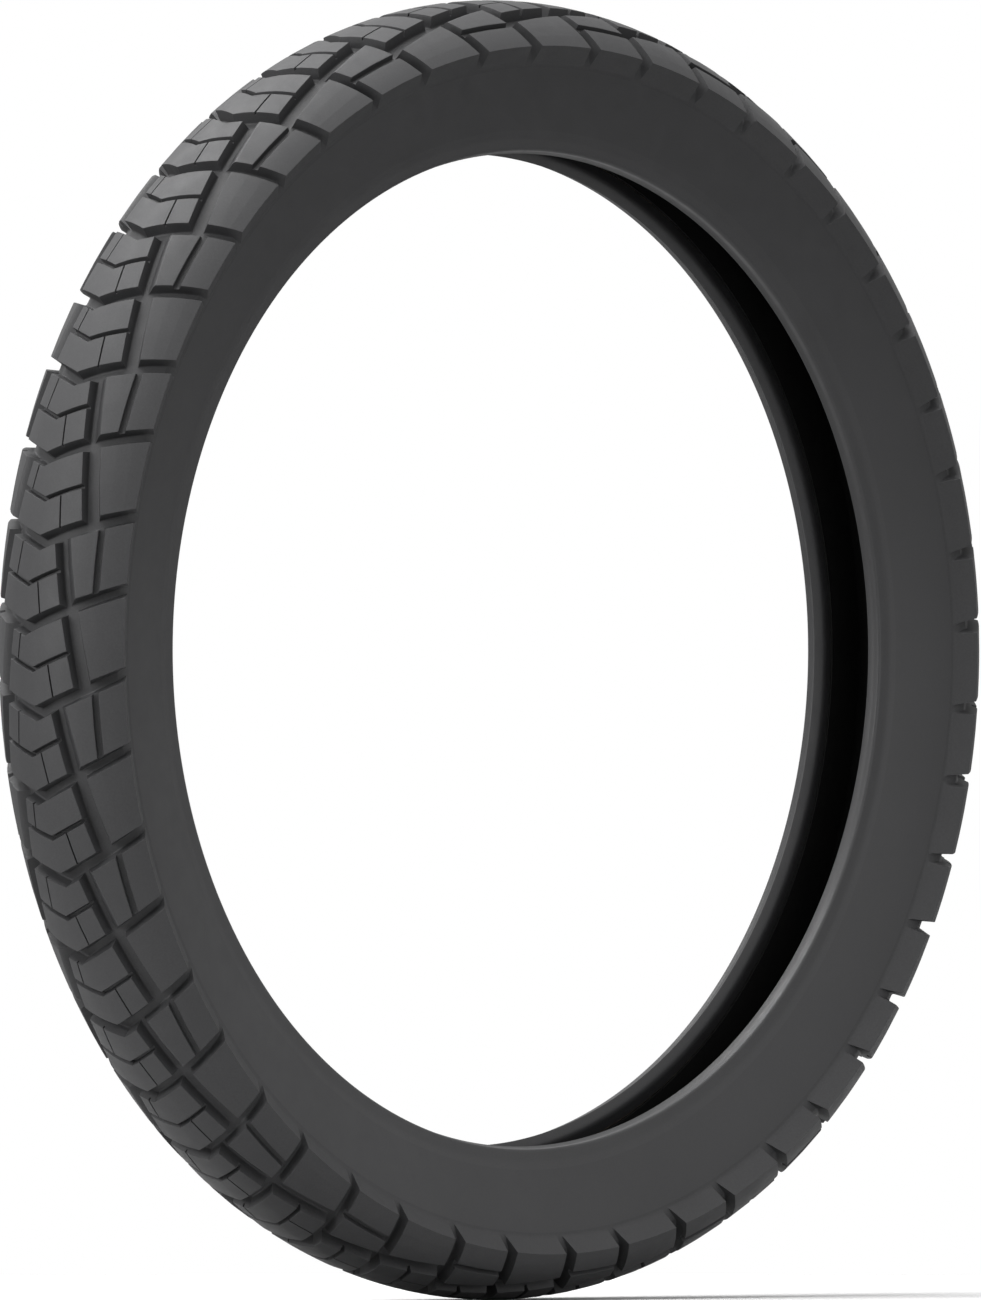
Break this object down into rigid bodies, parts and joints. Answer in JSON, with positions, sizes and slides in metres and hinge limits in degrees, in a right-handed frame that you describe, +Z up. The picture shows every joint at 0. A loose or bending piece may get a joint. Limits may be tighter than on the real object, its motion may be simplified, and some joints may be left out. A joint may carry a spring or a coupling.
{
  "type": "motorcycle tire",
  "caption": "Bare front motorcycle tire with a round profile, a block tread of V lines and stepped grooves, smooth sidewalls, wire beads, plies, breakers and inner liner.",
  "frame": {"origin": "wheel centre: on the spin axis, half way between the two beads", "axes": "+Y along the spin axis to the left, +Z up, +X in the direction the wheel rolls"},
  "size_m": [0.693, 0.0928, 0.693],
  "materials": {
    "tread_rubber": "matt black moulded rubber with a fine grain",
    "sidewall_rubber": "smooth satin black moulded rubber",
    "bead_rubber": "smooth satin hard black rubber over square-woven fabric",
    "base_rubber": "soft black cushion rubber",
    "apex_rubber": "hard black filler rubber",
    "liner_rubber": "smooth black liner rubber",
    "breaker_cord": "rubberised textile cord",
    "carcass_cord": "rubberised nylon cord",
    "wrap_fabric": "rubberised square-woven tape",
    "bead_wire": "bronze-coated steel wire"
  },
  "bodies": {
    "root": {"tread_cap": "tread_rubber", "tread_base": "base_rubber", "breaker_ply_outer": "breaker_cord", "breaker_ply_inner": "breaker_cord", "carcass_ply_outer": "carcass_cord", "carcass_ply_inner": "carcass_cord", "inner_liner": "liner_rubber", "sidewall_left": "sidewall_rubber", "chafer_left": "bead_rubber", "bead_apex_left": "apex_rubber", "bead_wrap_left": "wrap_fabric", "bead_core_left": "bead_wire", "sidewall_right": "sidewall_rubber", "chafer_right": "bead_rubber", "bead_apex_right": "apex_rubber", "bead_wrap_right": "wrap_fabric", "bead_core_right": "bead_wire"}
  },
  "joints": []
}
